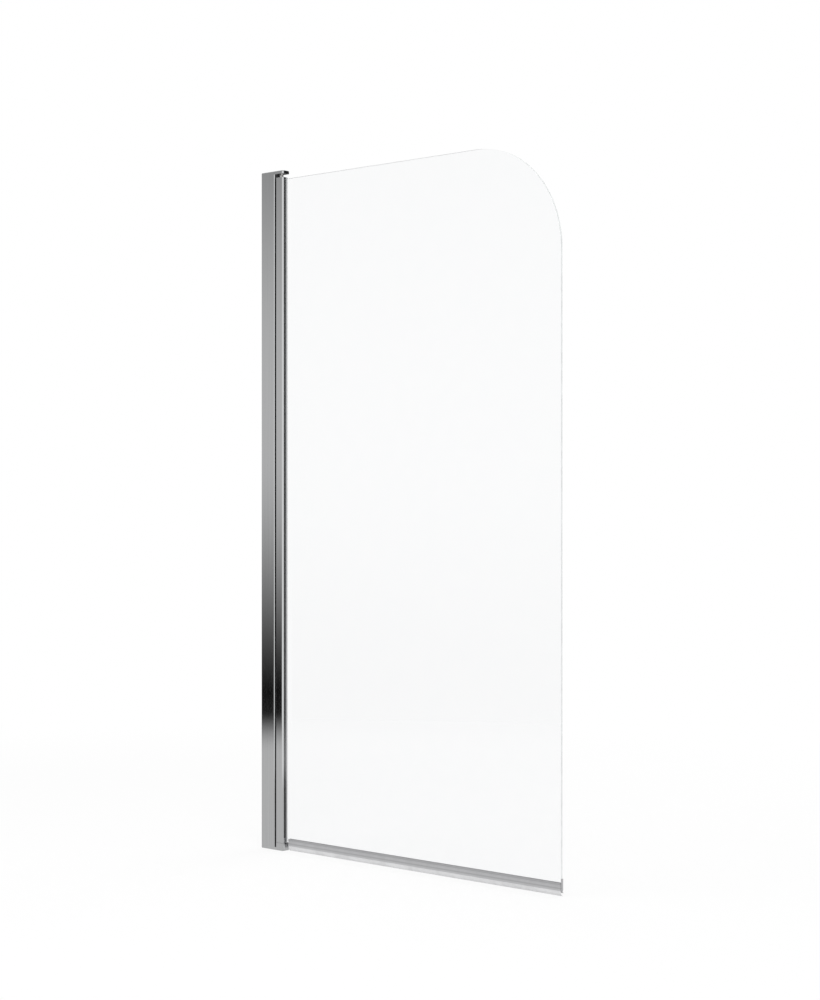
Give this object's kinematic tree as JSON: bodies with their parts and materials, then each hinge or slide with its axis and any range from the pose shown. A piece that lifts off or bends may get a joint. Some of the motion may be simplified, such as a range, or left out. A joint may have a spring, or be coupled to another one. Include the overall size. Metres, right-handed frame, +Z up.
{
  "type": "bath screen",
  "caption": "Hinged over-bath shower screen: wall channel, adjusting post, rising pivot hinge, clear glass leaf with one rounded corner, and a sealed lower edge.",
  "frame": {"origin": "on the wall face of the wall channel, at its lower end, midway between its front and rear faces", "axes": "+X from the wall along the closed leaf, +Y to the bath side, +Z up"},
  "size_m": [0.7754, 0.0223, 1.4],
  "materials": {
    "chrome": "bright chrome plate on aluminium",
    "steel": "plain stainless steel",
    "acetal": "moulded acetal",
    "black_rubber": "soft black seal",
    "black_plastic": "moulded black plastic",
    "clear_glass": "clear toughened glass",
    "grey_vinyl": "grey rigid vinyl",
    "soft_vinyl": "translucent soft vinyl"
  },
  "bodies": {
    "wall": {"wall_profile": "chrome", "wall_cap_top": "chrome", "wall_cap_bottom": "chrome", "lock_screws": "steel", "lock_nuts": "steel", "screw_cover_caps": "chrome"},
    "post": {"hinge_post": "chrome", "hinge_seal": "black_rubber", "bottom_pivot_arm": "chrome", "top_pivot_arm": "chrome", "arm_end_cap": "black_plastic", "bottom_pivot_pin": "steel", "top_pivot_pin": "steel", "arm_screws_bottom": "steel", "arm_screws_top": "steel", "lower_cam": "acetal"},
    "bushes": {"bottom_bush": "acetal", "top_bush": "acetal"},
    "leaf": {"upper_cam": "acetal", "hinge_profile": "chrome", "bottom_end_plug": "acetal", "top_end_plug": "acetal", "plug_screws": "steel", "front_gasket": "soft_vinyl", "rear_gasket": "soft_vinyl", "glass_packers": "acetal", "glass_panel": "clear_glass", "seal_rail": "grey_vinyl", "front_wiper_fin": "soft_vinyl", "rear_drip_fin": "soft_vinyl", "seal_end_stop": "grey_vinyl"}
  },
  "joints": [
    {"name": "width_adjust", "type": "slide", "parent": "wall", "child": "post", "axis": [1, 0, 0], "range_m": [0, 0.015]},
    {"name": "leaf_rise", "type": "slide", "parent": "post", "child": "bushes", "axis": [0, 0, 1], "range_m": [0, 0.0045]},
    {"name": "leaf_swing", "type": "hinge", "parent": "bushes", "child": "leaf", "pos_m": [0.0544, -0.0038, 0], "axis": [0, 0, -1], "range_deg": [0, 90]}
  ],
  "couplings": [
    {"joint": "leaf_rise", "follows": "leaf_swing", "m_per_rad": 0.0028647}
  ]
}
